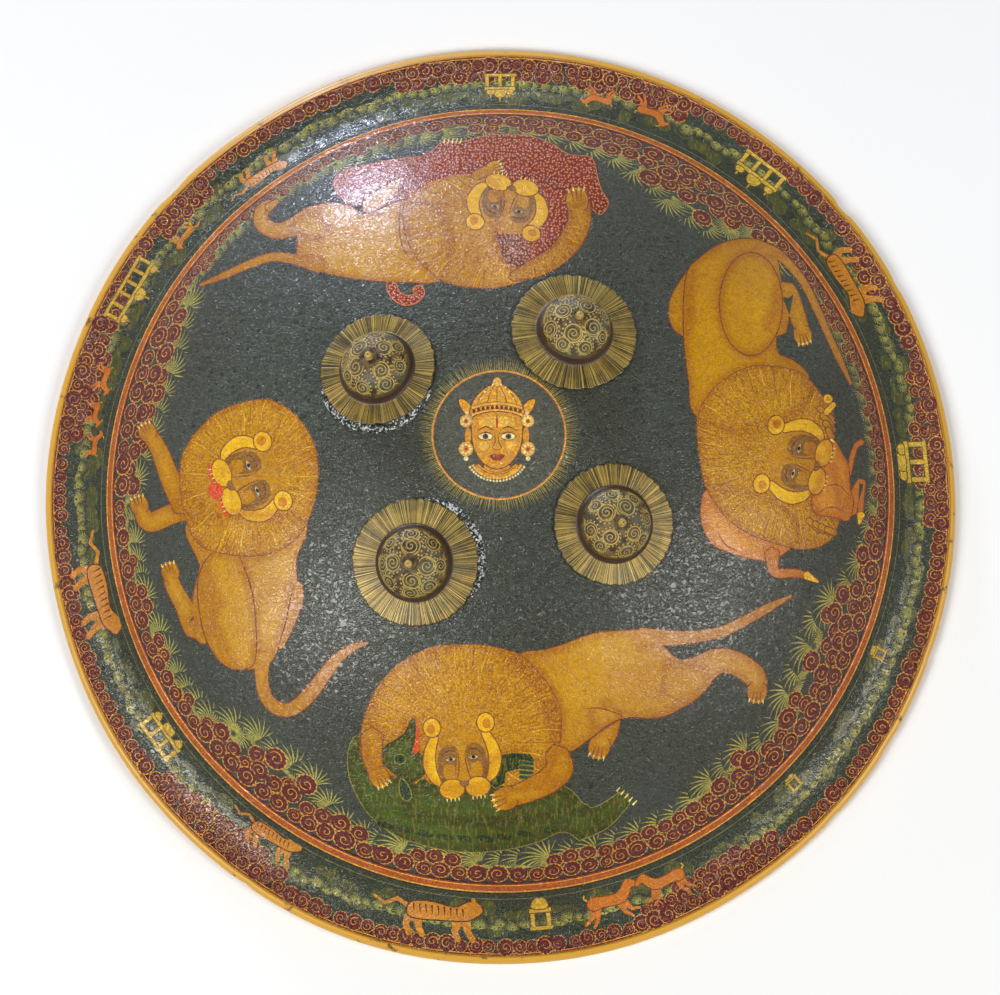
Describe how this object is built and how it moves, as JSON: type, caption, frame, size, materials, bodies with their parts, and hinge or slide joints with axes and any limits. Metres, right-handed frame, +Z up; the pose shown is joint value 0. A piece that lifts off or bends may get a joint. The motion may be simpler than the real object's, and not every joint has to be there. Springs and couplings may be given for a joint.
{
  "type": "dhal shield",
  "caption": "Round domed hide shield with a flared rim, ribbed metal bosses on the front and padded leather grips behind, lying dome up.",
  "frame": {"origin": "on the floor, below the middle of the rim, with the shield lying dome up", "axes": "+Z up out of the front of the dome, +Y towards the top of the painting, +X to its right"},
  "size_m": [0.516, 0.5246, 0.1224],
  "materials": {
    "painted_hide": "painted and varnished hide, dark slate ground with ochre and maroon painting",
    "gilt_boss": "worn gilding over dark lacquer",
    "grip_leather": "worn brown leather",
    "rove_iron": "dull forged iron"
  },
  "bodies": {
    "root": {"shield_hide": "painted_hide", "boss_upper_left": "gilt_boss", "boss_upper_right": "gilt_boss", "boss_lower_left": "gilt_boss", "boss_lower_right": "gilt_boss", "grip_left": "grip_leather", "grip_right": "grip_leather", "rove_upper_left": "rove_iron", "rove_upper_right": "rove_iron", "rove_lower_left": "rove_iron", "rove_lower_right": "rove_iron"}
  },
  "joints": []
}
